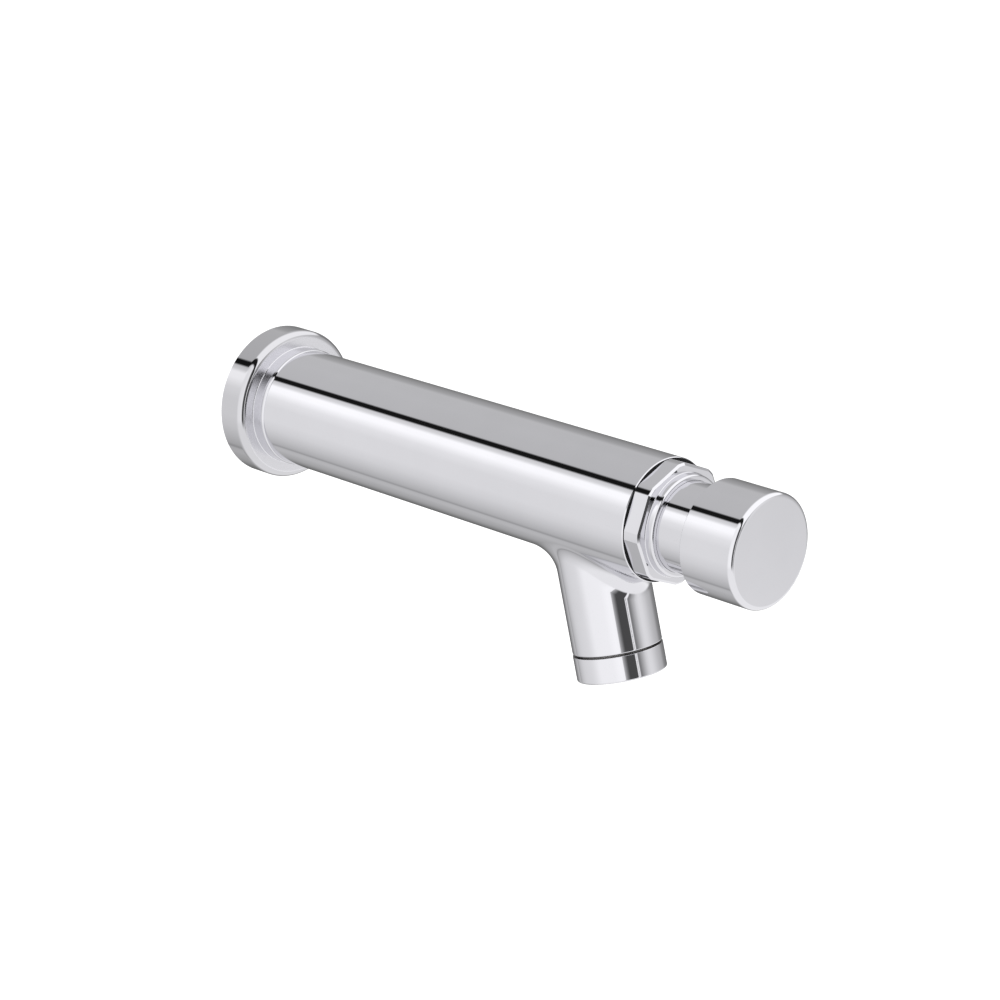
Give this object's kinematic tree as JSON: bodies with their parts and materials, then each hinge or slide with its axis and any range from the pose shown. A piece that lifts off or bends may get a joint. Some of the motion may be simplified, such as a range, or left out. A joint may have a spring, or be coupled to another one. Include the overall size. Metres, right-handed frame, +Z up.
{
  "type": "wall mounted push timed tap",
  "caption": "Chrome wall tap: a round barrel on a wall flange, a short spout that leans forward with an aerator ring, an octagonal nut and a round push button that springs back.",
  "frame": {"origin": "on the barrel's axis at the wall plane, where the inlet thread enters the wall", "axes": "+Y into the wall along the inlet thread, +Z up, the barrel and button along -Y, the spout down towards -Z"},
  "size_m": [0.0494, 0.2279, 0.0814],
  "materials": {
    "chrome": "bright chrome plate",
    "brass": "turned",
    "stainless_steel": "turned",
    "black_rubber": "matt",
    "foam": "open cell",
    "white_plastic": "moulded",
    "grey_plastic": "moulded"
  },
  "bodies": {
    "tap": {"wall_flange": "chrome", "flange_gasket": "foam", "tap_body": "chrome", "inlet_nipple": "brass", "inlet_o_ring": "black_rubber", "inlet_filter": "white_plastic", "flow_restrictor": "white_plastic", "valve_seat": "brass", "seat_o_ring": "black_rubber", "timing_cylinder": "grey_plastic", "timing_jet": "brass", "stem_o_ring": "black_rubber", "return_spring": "stainless_steel", "bonnet_seal": "black_rubber", "nut_washer": "black_rubber", "bonnet_nut": "chrome", "guide_bush": "white_plastic", "neck_wiper": "black_rubber", "aerator_housing": "chrome", "aerator_seal": "black_rubber", "aerator_plate": "white_plastic", "aerator_insert": "white_plastic", "aerator_screen": "white_plastic"},
    "plunger": {"valve_washer": "black_rubber", "valve_holder": "brass", "valve_nut": "brass", "stem": "stainless_steel", "piston": "white_plastic", "piston_cup_seal": "black_rubber", "spring_washer": "stainless_steel", "piston_clip": "stainless_steel", "button_neck": "chrome", "stem_nut": "stainless_steel", "button_cap": "chrome"}
  },
  "joints": [
    {"name": "button_push", "type": "slide", "parent": "tap", "child": "plunger", "axis": [0, 1, 0], "range_m": [0, 0.009], "stiffness_N_per_m": 500, "springref_m": -0.03, "deforming": ["return_spring"]}
  ]
}
